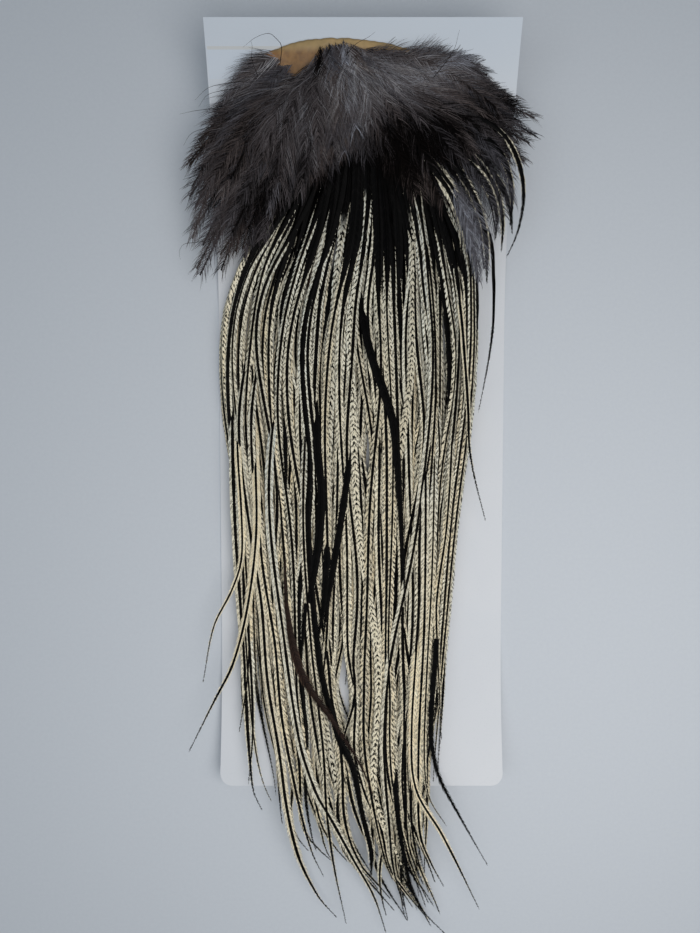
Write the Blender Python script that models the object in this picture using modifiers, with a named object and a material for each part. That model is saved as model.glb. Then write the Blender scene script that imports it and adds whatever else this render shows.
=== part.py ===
"""Rooster saddle patch on its plain backing card.

A strip of dried hide lies on the raised end of a bowed card. Long saddle hackles grow from
the hide in three overlapping layers and trail down the card and past its lower edge. Short
webby down feathers fan out over their roots.

The origin is the middle of the card, on its flat underside. +Y points to the hide end, +Z up.
The functions below work in millimetres, and each mesh is scaled to metres at the end.
"""

import math
import random

import bmesh
import bpy

METRES_PER_MM = 0.001
COLLECTION_NAME = "rooster_saddle_patch"

# Backing card
CARD_WIDTH = 118.0
CARD_LENGTH = 300.0
CARD_THICKNESS = 0.8
CARD_CORNER_RADIUS = 5.0
CARD_FLAT_TOP_Y = 40.0
CARD_FLAT_BOTTOM_Y = -85.0
CARD_TOP_RISE = 26.0
CARD_BOTTOM_RISE = 8.0
CARD_ROWS_PER_BOW = 14
CARD_ROWS_PER_CORNER = 4

# Clearance that neighbouring solids keep
GAP = 0.3

# Hide
HIDE_THICKNESS = 1.5
HIDE_TOP_Y = 142.0
HIDE_BOTTOM_Y = 76.0
HIDE_LEFT_X = -37.0
HIDE_RIGHT_X = 34.0
HIDE_TOP_DROP_LEFT = 4.0
HIDE_TOP_DROP_RIGHT = 10.0
HIDE_BOTTOM_RISE = 9.0
HIDE_WAIST = 0.08
HIDE_WAVE = 0.4
HIDE_WAVE_ACROSS = 9.0
HIDE_WAVE_ALONG = 5.0
HIDE_COLUMNS = 16
HIDE_ROWS = 10

# Long hackles: both edges of the cloak as (y, x), and how far a feather reaches across it
CLOAK_LEFT = ((110, -31), (75, -46), (45, -57), (10, -58), (-40, -51),
              (-110, -48), (-150, -42), (-182, -32), (-218, -6))
CLOAK_RIGHT = ((110, 31), (75, 44), (45, 47), (10, 46), (-40, 40),
               (-110, 34), (-150, 29), (-182, 28), (-218, 31))
TIP_REACH = ((0.0, -152), (0.12, -170), (0.3, -198), (0.45, -213), (0.6, -217),
             (0.72, -206), (0.85, -215), (0.95, -190), (1.0, -142))
HACKLE_LAYERS = 3
HACKLES_PER_LAYER = 11
HACKLE_ROOT_Y = (84.0, 94.0, 104.0)
HACKLE_LAYER_SHORTENING = (0.0, 9.0, 20.0)
HACKLE_TIP_JITTER = 8.0
HACKLE_SIDE_GAP = 0.45
HACKLE_LAYER_GAP = 0.4
HACKLE_THICKNESS_PER_WIDTH = 0.22
HACKLE_FIRST_ROW_Y = 74.0
HACKLE_STATION_STEP = 24.0
HACKLE_LAST_ROW_GAP = 3.0
HACKLE_TAPER_LENGTH = 85.0
HACKLE_OPENING_LENGTH = 20.0
HACKLE_ROOT_SHARE = 0.45
HACKLE_TIP_SHARE = 0.08
HACKLE_LEAST_THICKNESS_SHARE = 0.16
HACKLE_SIDES = 6
HACKLE_SETTLE_Y = (50.0, 74.0)

# Single feathers that leave the cloak, each as (y, x) from root to tip
STRAY_ROUTES = {
    "stray_hackle_left_upper": ((100, -33), (60, -47), (10, -51), (-40, -49), (-56, -49.5),
                                (-68, -53.5), (-83, -61), (-106, -65.5)),
    "stray_hackle_left_lower": ((102, -27), (60, -40), (10, -44), (-40, -43), (-72, -46.5),
                                (-98, -53), (-114, -61), (-134, -71)),
    "stray_hackle_right_upper": ((100, 34), (87, 42), (75, 50), (58, 52.5), (42, 52.7),
                                 (30, 51.5), (18, 49.5), (5, 47)),
    "stray_hackle_right_middle": ((102, 27), (60, 38), (25, 41.5), (5, 43), (-8, 43.5),
                                  (-20, 45.5), (-39, 50.5)),
    "stray_hackle_right_lower": ((102, 21), (60, 32), (15, 36), (-40, 34), (-90, 31),
                                 (-126, 28.5), (-142, 31), (-154, 37), (-183, 52.5)),
    "stray_hackle_right_tail": ((102, 14), (60, 24), (15, 28), (-40, 27), (-90, 23),
                                (-128, 20.5), (-148, 22), (-168, 33), (-205, 50)),
    "stray_hackle_dark_tail": ((102, 6), (60, 14), (15, 17), (-40, 16), (-90, 13),
                               (-150, 14), (-186, 19), (-204, 25), (-218, 37)),
    "brown_hackle": ((102, -12), (60, -21), (15, -27), (-40, -31), (-73, -31),
                     (-102, -25), (-126, -9), (-140, 0), (-154, 6)),
}
STRAY_WIDTH = 4.0
STRAY_THICKNESS = 0.9
STRAY_OPENING_LENGTH = 40.0
STRAY_TAPER_LENGTH = 110.0
STRAY_ROOT_SHARE = 0.45
STRAY_TIP_SHARE = 0.12
STRAY_LEAST_THICKNESS_SHARE = 0.4
STRAY_STATION_STEP = 16.0
STRAY_LAYER_GAP = 1.0

# Short webby feathers: tiers of tufts in a fan, and the reach of the fan as (degrees, mm).
# Zero degrees points down the card, positive angles turn to the right.
DOWN_CENTRE = (-5.0, 128.0)
DOWN_REACH = ((-104, 36), (-80, 55), (-70, 68), (-58, 79), (-45, 88), (-35, 88), (-20, 62),
              (0, 55), (20, 58), (32, 80), (48, 82), (64, 76), (79, 72), (87, 64), (106, 42))
DOWN_ROOT_RADIUS = 6.0
DOWN_RISE_LENGTH = 13.0
DOWN_ROOT_LIFT = 2.8
DOWN_TIERS = (
    {"tufts": 8, "from": -104.0, "to": 106.0, "reach": 1.0, "lift": 11.8},
    {"tufts": 5, "from": -84.0, "to": 86.0, "reach": 0.8, "lift": 16.3},
    {"tufts": 3, "from": -57.0, "to": 60.0, "reach": 0.56, "lift": 20.6},
)
DOWN_TIER_ROOT_STEP = 3.2
DOWN_HALF_THICKNESS = 2.0
DOWN_SIDE_GAP = 0.8
DOWN_RISE_STATIONS = 3
DOWN_BLADE_STATIONS = 5
DOWN_SWEEP = 0.12
DOWN_TIP_LENGTH = 0.4
DOWN_TIP_SHARE = 0.18
DOWN_LEAST_BULGE = 0.3
DOWN_BULGE_POWER = 0.8
DOWN_SIDES = 8
DOWN_SIDE_DROOP = 6.0
DOWN_SIDE_DROOP_ANGLES = (58.0, 82.0)
DOWN_DROOP_RADIUS = 70.0

# Past the card's lower edge the feathers sink towards the surface that the card lies on
TAIL_DROOP_LENGTH = 66.0
TAIL_REST_HEIGHT = 0.6

RANDOM_SEED = 11

MATERIALS = {
    "card": ((0.80, 0.82, 0.84, 1.0), 0.62),
    "hide": ((0.58, 0.33, 0.13, 1.0), 0.60),
    "hackle": ((0.52, 0.48, 0.36, 1.0), 0.48),
    "down": ((0.055, 0.048, 0.055, 1.0), 0.85),
}


def smoothstep(value):
    """Ease from 0 to 1."""
    value = max(0.0, min(1.0, value))
    return value * value * (3.0 - 2.0 * value)


def mix(start, end, share):
    """Straight mix of two numbers."""
    return start + (end - start) * share


def smooth_value(points, at):
    """Smooth curve through (position, value) points, read at one position."""
    points = sorted(points)
    at = max(points[0][0], min(points[-1][0], at))
    last = len(points) - 1
    index = max(i for i in range(last) if points[i][0] <= at or i == 0)
    before = points[max(index - 1, 0)]
    start, end = points[index], points[index + 1]
    after = points[min(index + 2, last)]
    span = end[0] - start[0]
    share = (at - start[0]) / span
    slope_in = (end[1] - before[1]) / (end[0] - before[0]) * span
    slope_out = (after[1] - start[1]) / (after[0] - start[0]) * span
    cube, square = share ** 3, share ** 2
    return ((2 * cube - 3 * square + 1) * start[1] + (cube - 2 * square + share) * slope_in
            + (3 * square - 2 * cube) * end[1] + (cube - square) * slope_out)


def card_underside(y):
    """Height of the card's underside: flat in the middle, bowed up at both ends."""
    half = CARD_LENGTH / 2
    if y > CARD_FLAT_TOP_Y:
        return CARD_TOP_RISE * ((y - CARD_FLAT_TOP_Y) / (half - CARD_FLAT_TOP_Y)) ** 2
    if y < CARD_FLAT_BOTTOM_Y:
        return CARD_BOTTOM_RISE * ((CARD_FLAT_BOTTOM_Y - y) / (half + CARD_FLAT_BOTTOM_Y)) ** 2
    return 0.0


def bed_height(y):
    """Height that the feathers lie on: the card's face, then a slope down past its lower edge."""
    half = CARD_LENGTH / 2
    if y >= -half:
        return card_underside(min(y, half)) + CARD_THICKNESS
    sunk = smoothstep((-half - y) / TAIL_DROOP_LENGTH)
    return mix(card_underside(-half) + CARD_THICKNESS, TAIL_REST_HEIGHT, sunk)


def make_material(slot):
    """Principled material of one slot."""
    colour, roughness = MATERIALS[slot]
    material = bpy.data.materials.new(slot)
    material.use_nodes = True
    shader = material.node_tree.nodes["Principled BSDF"]
    shader.inputs["Base Color"].default_value = colour
    shader.inputs["Roughness"].default_value = roughness
    material.diffuse_color = colour
    return material


def add_object(name, bm, slot, collection, smooth=False):
    """Scale a millimetre mesh to metres and add it as a named object with its own material."""
    bmesh.ops.scale(bm, vec=(METRES_PER_MM,) * 3, verts=bm.verts)
    mesh = bpy.data.meshes.new(name)
    bm.to_mesh(mesh)
    bm.free()
    if smooth:
        mesh.shade_smooth()
    mesh.materials.append(make_material(slot))
    obj = bpy.data.objects.new(name, mesh)
    collection.objects.link(obj)
    return obj


def thicken(obj, thickness):
    """Give an open sheet its thickness, upwards."""
    solidify = obj.modifiers.new("Thickness", "SOLIDIFY")
    solidify.thickness = thickness * METRES_PER_MM
    solidify.offset = 1.0
    solidify.use_even_offset = False


def card_rows():
    """Row positions of the card: dense on the bows and the rounded corners, none on the flat."""
    half = CARD_LENGTH / 2
    rows = {-half, half, CARD_FLAT_BOTTOM_Y, CARD_FLAT_TOP_Y}
    for i in range(1, CARD_ROWS_PER_BOW):
        share = i / CARD_ROWS_PER_BOW
        rows.add(mix(CARD_FLAT_TOP_Y, half, share))
        rows.add(mix(CARD_FLAT_BOTTOM_Y, CARD_CORNER_RADIUS - half, share))
    for i in range(1, CARD_ROWS_PER_CORNER + 1):
        angle = math.pi / 2 * i / CARD_ROWS_PER_CORNER
        rows.add(CARD_CORNER_RADIUS * (1 - math.cos(angle)) - half)
    return sorted(rows)


def card_half_width(y):
    """Half of the card's width, less at the rounded lower corners."""
    rise = y + CARD_LENGTH / 2
    if rise >= CARD_CORNER_RADIUS:
        return CARD_WIDTH / 2
    inset = CARD_CORNER_RADIUS - math.sqrt(CARD_CORNER_RADIUS ** 2 - (CARD_CORNER_RADIUS - rise) ** 2)
    return CARD_WIDTH / 2 - inset


def build_card(collection):
    """Bowed card: a grid laid on the bow curve, thickened upwards."""
    rows = card_rows()
    bm = bmesh.new()
    bmesh.ops.create_grid(bm, x_segments=1, y_segments=len(rows) - 1, size=1.0)
    for vert in bm.verts:
        y = rows[round((vert.co.y + 1) / 2 * (len(rows) - 1))]
        vert.co = (vert.co.x * card_half_width(y), y, card_underside(y))
    card = add_object("backing_card", bm, "card", collection)
    thicken(card, CARD_THICKNESS)


def hide_point(across, along):
    """One point of the hide's outline grid, both shares from 0 to 1."""
    x = mix(HIDE_LEFT_X, HIDE_RIGHT_X, across)
    edge = abs(2 * across - 1)
    drop = HIDE_TOP_DROP_LEFT * edge ** 3 if across < 0.5 else HIDE_TOP_DROP_RIGHT * edge ** 2
    bottom = HIDE_BOTTOM_Y + HIDE_BOTTOM_RISE * edge ** 3
    wave = HIDE_WAVE * math.sin(HIDE_WAVE_ACROSS * across + HIDE_WAVE_ALONG * along)
    y = mix(bottom, HIDE_TOP_Y - drop + wave, along)
    waist = 1.0 - HIDE_WAIST * math.sin(math.pi * along)
    return x * waist, y


def build_hide(collection):
    """Dried hide: a thin sheet that follows the card's bow."""
    bm = bmesh.new()
    bmesh.ops.create_grid(bm, x_segments=HIDE_COLUMNS, y_segments=HIDE_ROWS, size=1.0)
    for vert in bm.verts:
        x, y = hide_point((vert.co.x + 1) / 2, (vert.co.y + 1) / 2)
        vert.co = (x, y, bed_height(y) + GAP)
    hide = add_object("hide", bm, "hide", collection, smooth=True)
    thicken(hide, HIDE_THICKNESS)


def hackle_bed(_, y):
    """Height that the long feathers are draped over."""
    return bed_height(y)


def down_bed(x, y):
    """Height that the down is draped over: its fan droops towards both sides."""
    across, along = x - DOWN_CENTRE[0], DOWN_CENTRE[1] - y
    turn = abs(math.degrees(math.atan2(across, along)))
    first, last = DOWN_SIDE_DROOP_ANGLES
    outwards = min(1.0, math.hypot(across, along) / DOWN_DROOP_RADIUS)
    return bed_height(y) - DOWN_SIDE_DROOP * smoothstep((turn - first) / (last - first)) * outwards ** 2


def loft(name, stations, bed, slot, collection, sides):
    """Closed lock of lens sections draped over a bed.

    A station is (x, y, heading, half width, half thickness, lift), with the heading of the
    section's side direction in radians and the lift of its middle over the bed.
    """
    bm = bmesh.new()
    rings = []
    for x, y, heading, half_width, half_thickness, lift in stations:
        ring = bmesh.ops.create_circle(bm, segments=sides, radius=1.0)["verts"]
        for index, vert in enumerate(ring):
            angle = 2 * math.pi * index / sides
            across = math.cos(angle) * half_width
            side_x = x + across * math.cos(heading)
            side_y = y + across * math.sin(heading)
            height = bed(side_x, side_y) + lift + math.sin(angle) * half_thickness
            vert.co = (side_x, side_y, height)
        rings.append(ring)
    for lower, upper in zip(rings, rings[1:]):
        for index in range(sides):
            after = (index + 1) % sides
            bm.faces.new((lower[index], lower[after], upper[after], upper[index]))
    bm.faces.new(rings[0])
    bm.faces.new(list(reversed(rings[-1])))
    bmesh.ops.recalc_face_normals(bm, faces=bm.faces)
    return add_object(name, bm, slot, collection, smooth=True)


def lane_width(y):
    """Width of one lock at a height on the card."""
    return (smooth_value(CLOAK_RIGHT, y) - smooth_value(CLOAK_LEFT, y)) / HACKLES_PER_LAYER


def layer_lift(layer, y):
    """Lift of a layer's middle over the bed: the layers stack up, and rest on the hide above."""
    thickness = HACKLE_THICKNESS_PER_WIDTH * lane_width(y)
    on_hide = smoothstep((y - HACKLE_SETTLE_Y[0]) / (HACKLE_SETTLE_Y[1] - HACKLE_SETTLE_Y[0]))
    return (GAP + on_hide * (GAP + HIDE_THICKNESS) + (layer + 0.5) * thickness
            + layer * HACKLE_LAYER_GAP)


def hackle_rows(root_y, tip_y, row_step):
    """Stations from root to tip, one at the card's edge. Locks share them, so they stay apart."""
    count = round((CARD_LENGTH / 2 + HACKLE_FIRST_ROW_Y) / row_step)
    step = (CARD_LENGTH / 2 + HACKLE_FIRST_ROW_Y) / count
    rows = [HACKLE_FIRST_ROW_Y - step * i for i in range(2 * count)]
    inner = [row for row in rows if tip_y + HACKLE_LAST_ROW_GAP < row]
    return [root_y] + inner + [tip_y]


def hackle_station(layer, share, y, root_y, tip_y):
    """Section of one lock at one row."""
    left = smooth_value(CLOAK_LEFT, y)
    right = smooth_value(CLOAK_RIGHT, y)
    width = lane_width(y)
    taper = smoothstep((y - tip_y) / HACKLE_TAPER_LENGTH)
    opening = smoothstep((root_y - y) / HACKLE_OPENING_LENGTH)
    fullness = mix(HACKLE_TIP_SHARE, 1.0, taper) * mix(HACKLE_ROOT_SHARE, 1.0, opening)
    half_width = (width - HACKLE_SIDE_GAP) / 2 * fullness
    thickness_share = max(fullness, HACKLE_LEAST_THICKNESS_SHARE)
    half_thickness = HACKLE_THICKNESS_PER_WIDTH * width / 2 * thickness_share
    return mix(left, right, share), y, 0.0, half_width, half_thickness, layer_lift(layer, y)


def build_hackles(collection):
    """Three layers of tapering locks, side by side, from the hide to beyond the card."""
    rng = random.Random(RANDOM_SEED)
    number = 0
    for layer in range(HACKLE_LAYERS):
        for lane in range(HACKLES_PER_LAYER):
            share = (lane + 0.5) / HACKLES_PER_LAYER
            root_y = HACKLE_ROOT_Y[layer]
            tip_y = (smooth_value(TIP_REACH, share) + HACKLE_LAYER_SHORTENING[layer]
                     + rng.uniform(0.0, HACKLE_TIP_JITTER))
            rows = hackle_rows(root_y, tip_y, HACKLE_STATION_STEP)
            stations = [hackle_station(layer, share, y, root_y, tip_y) for y in rows]
            number += 1
            loft("saddle_hackle_%02d" % number, stations, hackle_bed, "hackle", collection,
                 HACKLE_SIDES)


def stray_station(route, y):
    """Section of one single feather at one row, on top of the layers of locks."""
    root_y, tip_y = route[0][0], route[-1][0]
    opening = smoothstep((root_y - y) / STRAY_OPENING_LENGTH)
    taper = smoothstep((y - tip_y) / min(STRAY_TAPER_LENGTH, (root_y - tip_y) / 2))
    fullness = mix(STRAY_ROOT_SHARE, 1.0, opening) * mix(STRAY_TIP_SHARE, 1.0, taper)
    top_layer = HACKLE_LAYERS - 1
    lift = (layer_lift(top_layer, y) + HACKLE_THICKNESS_PER_WIDTH * lane_width(y) / 2
            + STRAY_LAYER_GAP + STRAY_THICKNESS / 2)
    return (smooth_value(route, y), y, 0.0, STRAY_WIDTH / 2 * fullness,
            STRAY_THICKNESS / 2 * max(fullness, STRAY_LEAST_THICKNESS_SHARE), lift)


def build_strays(collection):
    """Single feathers that lie on the cloak and then leave its edge."""
    for name, route in STRAY_ROUTES.items():
        rows = hackle_rows(route[0][0], route[-1][0], STRAY_STATION_STEP)
        stations = [stray_station(route, y) for y in rows if y <= route[0][0]]
        loft(name, stations, hackle_bed, "hackle", collection, HACKLE_SIDES)


def tuft_radii(reach):
    """Distances from the fan's centre: the rise, which all tiers share, and then the blade."""
    top = DOWN_ROOT_RADIUS + DOWN_RISE_LENGTH
    rise = [mix(DOWN_ROOT_RADIUS, top, i / DOWN_RISE_STATIONS) for i in range(DOWN_RISE_STATIONS)]
    blade = [mix(top, reach, i / DOWN_BLADE_STATIONS) for i in range(DOWN_BLADE_STATIONS + 1)]
    return rise + blade


def tuft_station(tier, angle, sector, reach, radius):
    """Section of one down tuft, at a distance from the fan's centre."""
    along = (radius - DOWN_ROOT_RADIUS) / (reach - DOWN_ROOT_RADIUS)
    turn = math.radians(angle * (1 + DOWN_SWEEP * (1 - along)))
    x = DOWN_CENTRE[0] + radius * math.sin(turn)
    y = DOWN_CENTRE[1] - radius * math.cos(turn)
    leaf = mix(DOWN_TIP_SHARE, 1.0, smoothstep((1 - along) / DOWN_TIP_LENGTH))
    half_width = (radius * math.tan(math.radians(sector) / 2) - DOWN_SIDE_GAP / 2) * leaf
    bulge = mix(DOWN_LEAST_BULGE, 1.0, math.sin(math.pi * along ** DOWN_BULGE_POWER))
    risen = smoothstep((radius - DOWN_ROOT_RADIUS) / DOWN_RISE_LENGTH)
    root_lift = DOWN_ROOT_LIFT + DOWN_TIER_ROOT_STEP * DOWN_TIERS.index(tier)
    lift = mix(root_lift, tier["lift"], risen)
    return x, y, turn, half_width, DOWN_HALF_THICKNESS * bulge, lift


def build_down(collection):
    """Three tiers of webby tufts that fan out over the roots of the hackles."""
    number = 0
    for tier in DOWN_TIERS:
        sector = (tier["to"] - tier["from"]) / tier["tufts"]
        for index in range(tier["tufts"]):
            angle = tier["from"] + sector * (index + 0.5)
            reach = smooth_value(DOWN_REACH, angle) * tier["reach"]
            stations = [tuft_station(tier, angle, sector, reach, r) for r in tuft_radii(reach)]
            number += 1
            loft("down_tuft_%02d" % number, stations, down_bed, "down", collection, DOWN_SIDES)


def main():
    """Clear the file and build every piece."""
    for obj in list(bpy.data.objects):
        bpy.data.objects.remove(obj, do_unlink=True)
    collection = bpy.data.collections.new(COLLECTION_NAME)
    bpy.context.scene.collection.children.link(collection)
    build_card(collection)
    build_hide(collection)
    build_hackles(collection)
    build_strays(collection)
    build_down(collection)


main()
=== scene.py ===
"""Looks of the rooster saddle patch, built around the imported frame.

Lengths are in millimetres until a mesh is made. +Y points to the hide end, -Y to the tips.
"""

import math

import bpy
import numpy as np
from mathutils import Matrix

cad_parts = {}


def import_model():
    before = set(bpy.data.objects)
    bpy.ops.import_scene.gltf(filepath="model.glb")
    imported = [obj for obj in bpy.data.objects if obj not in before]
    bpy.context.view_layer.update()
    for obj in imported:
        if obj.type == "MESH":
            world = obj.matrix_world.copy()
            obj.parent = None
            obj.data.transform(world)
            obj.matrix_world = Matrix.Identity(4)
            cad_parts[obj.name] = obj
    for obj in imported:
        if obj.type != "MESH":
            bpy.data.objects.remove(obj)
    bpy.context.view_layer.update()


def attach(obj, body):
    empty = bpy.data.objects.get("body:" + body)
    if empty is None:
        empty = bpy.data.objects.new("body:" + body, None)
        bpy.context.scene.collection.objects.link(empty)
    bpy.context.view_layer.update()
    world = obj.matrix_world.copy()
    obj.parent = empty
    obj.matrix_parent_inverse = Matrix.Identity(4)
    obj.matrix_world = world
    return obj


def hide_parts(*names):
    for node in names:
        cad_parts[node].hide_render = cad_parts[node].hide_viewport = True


METRES_PER_MM = 0.001
UP = np.array((0.0, 0.0, 1.0))

# Backing card, as built
CARD_WIDTH = 118.0
CARD_LENGTH = 300.0
CARD_THICKNESS = 0.8
CARD_CORNER_RADIUS = 5.0
CARD_FLAT_TOP_Y = 40.0
CARD_FLAT_BOTTOM_Y = -85.0
CARD_TOP_RISE = 26.0
CARD_BOTTOM_RISE = 8.0
GAP = 0.3

# Hide, as built
HIDE_THICKNESS = 1.5
HIDE_TOP_Y = 142.0
HIDE_BOTTOM_Y = 76.0
HIDE_LEFT_X = -37.0
HIDE_RIGHT_X = 34.0

# Cloak of long hackles, as built: its edges as (y, x) and its reach as (share, y)
CLOAK_LEFT = ((110, -31), (75, -46), (45, -57), (10, -58), (-40, -51),
              (-110, -48), (-150, -42), (-182, -32), (-218, -6))
CLOAK_RIGHT = ((110, 31), (75, 44), (45, 47), (10, 46), (-40, 40),
               (-110, 34), (-150, 29), (-182, 28), (-218, 31))
TIP_REACH = ((0.0, -152), (0.12, -170), (0.3, -198), (0.45, -213), (0.6, -217),
             (0.72, -206), (0.85, -215), (0.95, -190), (1.0, -142))
HACKLE_LAYERS = 3
HACKLES_PER_LAYER = 11
HACKLE_ROOT_Y = (84.0, 94.0, 104.0)
HACKLE_LAYER_GAP = 0.4
HACKLE_THICKNESS_PER_WIDTH = 0.22
HACKLE_SETTLE_Y = (50.0, 74.0)
STRAY_THICKNESS = 0.9
STRAY_LAYER_GAP = 1.0
TAIL_DROOP_LENGTH = 66.0
TAIL_REST_HEIGHT = 0.6

# Fan of webby feathers, as built
DOWN_CENTRE = (-5.0, 128.0)
DOWN_RISE_LENGTH = 13.0
DOWN_ROOT_LIFT = 2.8
DOWN_TIER_ROOT_STEP = 3.2
DOWN_TIERS = (
    {"tufts": 8, "from": -104.0, "to": 106.0, "reach": 1.0, "lift": 11.8},
    {"tufts": 5, "from": -84.0, "to": 86.0, "reach": 0.8, "lift": 16.3},
    {"tufts": 3, "from": -57.0, "to": 60.0, "reach": 0.56, "lift": 20.6},
)
DOWN_SIDE_DROOP = 6.0
DOWN_SIDE_DROOP_ANGLES = (58.0, 82.0)
DOWN_DROOP_RADIUS = 70.0

# Camera, fitted to the card's outline in the photograph
CAMERA_PLACE = (-4.81, -1.59, 295.0)
CAMERA_TILT_DEGREES = -3.045
CAMERA_LENS = 27.2

SEED = 41


# Small mathematics


def smoothstep(value):
    """Ease from 0 to 1, on numbers or arrays."""
    value = np.clip(value, 0.0, 1.0)
    return value * value * (3.0 - 2.0 * value)


def mix(start, end, share):
    """Straight mix."""
    return start + (end - start) * share


def smooth_value(points, at):
    """Smooth curve through (position, value) points, read at one or many positions."""
    places, values = np.array(sorted(points), float).T
    slopes = np.empty_like(values)
    slopes[1:-1] = (values[2:] - values[:-2]) / (places[2:] - places[:-2])
    slopes[0] = (values[1] - values[0]) / (places[1] - places[0])
    slopes[-1] = (values[-1] - values[-2]) / (places[-1] - places[-2])
    at = np.clip(at, places[0], places[-1])
    index = np.clip(np.searchsorted(places, at, side="right") - 1, 0, len(places) - 2)
    span = places[index + 1] - places[index]
    share = (at - places[index]) / span
    cube, square = share ** 3, share ** 2
    return ((2 * cube - 3 * square + 1) * values[index]
            + (cube - 2 * square + share) * slopes[index] * span
            + (3 * square - 2 * cube) * values[index + 1]
            + (cube - square) * slopes[index + 1] * span)


def eased(value, span):
    """Ease from 0 to 1 between the two ends of a span."""
    return smoothstep((value - span[0]) / (span[1] - span[0]))


def unit(vectors):
    """Vectors of length one."""
    return vectors / np.maximum(np.linalg.norm(vectors, axis=-1, keepdims=True), 1e-9)


def stacked(*values):
    """Arrays or numbers side by side on a new last axis."""
    return np.stack(np.broadcast_arrays(*values), -1)


def running_length(points):
    """Length along a path from its first point to each point."""
    steps = np.linalg.norm(np.diff(points, axis=0), axis=1)
    return np.concatenate(([0.0], np.cumsum(steps)))


def curve_through(points, step):
    """Even places on a smooth plane curve through the given points, as x and y."""
    points = np.array(points, float)
    chord = running_length(points)
    at = np.linspace(0.0, chord[-1], max(4, int(chord[-1] / step)))
    return [smooth_value(tuple(zip(chord, points[:, i])), at) for i in range(2)]


def drawn(rng, span):
    """A random number from a span, or the fixed number itself."""
    return rng.uniform(*span) if isinstance(span, tuple) else span


def linear(red, green, blue):
    """Linear colour from screen values of 0 to 255."""
    def channel(value):
        value /= 255.0
        return value / 12.92 if value <= 0.04045 else ((value + 0.055) / 1.055) ** 2.4
    return (channel(red), channel(green), channel(blue), 1.0)


# Surfaces that the feathers lie on


def card_underside(y):
    """Height of the card's underside: flat in the middle, bowed up at both ends."""
    half = CARD_LENGTH / 2
    top = np.clip((y - CARD_FLAT_TOP_Y) / (half - CARD_FLAT_TOP_Y), 0.0, 1.0)
    bottom = np.clip((CARD_FLAT_BOTTOM_Y - y) / (half + CARD_FLAT_BOTTOM_Y), 0.0, 1.0)
    return CARD_TOP_RISE * top ** 2 + CARD_BOTTOM_RISE * bottom ** 2


def bed_height(y):
    """Card's face, then a slope down past its lower edge."""
    sunk = smoothstep((-CARD_LENGTH / 2 - y) / TAIL_DROOP_LENGTH)
    return mix(card_underside(y) + CARD_THICKNESS, TAIL_REST_HEIGHT, sunk)


def down_bed(x, y):
    """Bed of the fan, which droops towards both sides."""
    across, along = x - DOWN_CENTRE[0], DOWN_CENTRE[1] - y
    turn = np.abs(np.degrees(np.arctan2(across, along)))
    outwards = np.minimum(1.0, np.hypot(across, along) / DOWN_DROOP_RADIUS)
    return bed_height(y) - DOWN_SIDE_DROOP * eased(turn, DOWN_SIDE_DROOP_ANGLES) * outwards ** 2


def over_card(x, y, lift):
    """Path over the card and the slope past it."""
    return np.stack((x, y, bed_height(y) + lift), -1)


def over_fan(x, y, lift):
    """Path over the fan's bed."""
    return np.stack((x, y, down_bed(x, y) + lift), -1)


def lane_width(y):
    """Width of one lock of the cloak."""
    return (smooth_value(CLOAK_RIGHT, y) - smooth_value(CLOAK_LEFT, y)) / HACKLES_PER_LAYER


def layer_lift(layer, y):
    """Lift of a layer's middle over the bed."""
    thickness = HACKLE_THICKNESS_PER_WIDTH * lane_width(y)
    return (GAP + eased(y, HACKLE_SETTLE_Y) * (GAP + HIDE_THICKNESS) + (layer + 0.5) * thickness
            + layer * HACKLE_LAYER_GAP)


# Gathering strips into meshes


class Piece:
    """Strips of one piece: points, coordinates on the feather, bake coordinates and values."""

    def __init__(self):
        self.parts = {"points": [], "vane": [], "bake": [], "look": [], "more": []}
        self.faces = []
        self.count = 0

    def add(self, points, vane, bake, look, more):
        """Add a batch of sheets. points is (batch, rows, columns, 3)."""
        batch, rows, columns = points.shape[:3]
        index = np.arange(batch * rows * columns).reshape(batch, rows, columns) + self.count
        quads = np.stack((index[:, :-1, :-1], index[:, :-1, 1:],
                          index[:, 1:, 1:], index[:, 1:, :-1]), -1)
        self.faces.append(quads.reshape(-1, 4))
        self.count += batch * rows * columns
        shape = (batch, rows, columns)
        for key, values in (("points", points), ("vane", vane), ("bake", bake),
                            ("look", look), ("more", more)):
            width = values.shape[-1]
            values = np.broadcast_to(values, shape + (width,))
            self.parts[key].append(values.reshape(-1, width))

    def add_vane(self, points, offset, along, bake, look, more):
        """Add the one sheet of a feather's vane."""
        self.add(points[None], vane_place(offset, along[:, None])[None], bake[None], look, more)

    def build(self, name, material, slot, *nodes):
        """Make the object, ride it on the body and let it stand for its CAD nodes."""
        data = {key: np.concatenate(values) for key, values in self.parts.items()}
        faces = np.concatenate(self.faces)
        mesh = bpy.data.meshes.new(name)
        mesh.vertices.add(self.count)
        mesh.vertices.foreach_set("co", (data["points"] * METRES_PER_MM).ravel())
        mesh.loops.add(faces.size)
        mesh.loops.foreach_set("vertex_index", faces.ravel().astype(np.int32))
        mesh.polygons.add(len(faces))
        mesh.polygons.foreach_set("loop_start", np.arange(0, faces.size, 4, dtype=np.int32))
        mesh.update(calc_edges=True)
        for layer, key in (("OFBake", "bake"), ("Vane", "vane")):
            coordinates = data[key][faces.ravel()].ravel()
            mesh.uv_layers.new(name=layer).data.foreach_set("uv", coordinates)
        for layer in ("look", "more"):
            values = mesh.attributes.new(layer, "FLOAT_COLOR", "POINT")
            values.data.foreach_set("color", data[layer].ravel())
        mesh.shade_smooth()
        mesh.materials.append(material)
        finish_piece(bpy.data.objects.new(name, mesh), slot, *nodes)


def finish_piece(obj, slot, *nodes):
    """Link a piece, let it ride on the body and stand for its CAD nodes."""
    bpy.context.scene.collection.objects.link(obj)
    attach(obj, "root")
    if nodes:
        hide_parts(*nodes)


# Long hackles

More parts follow.
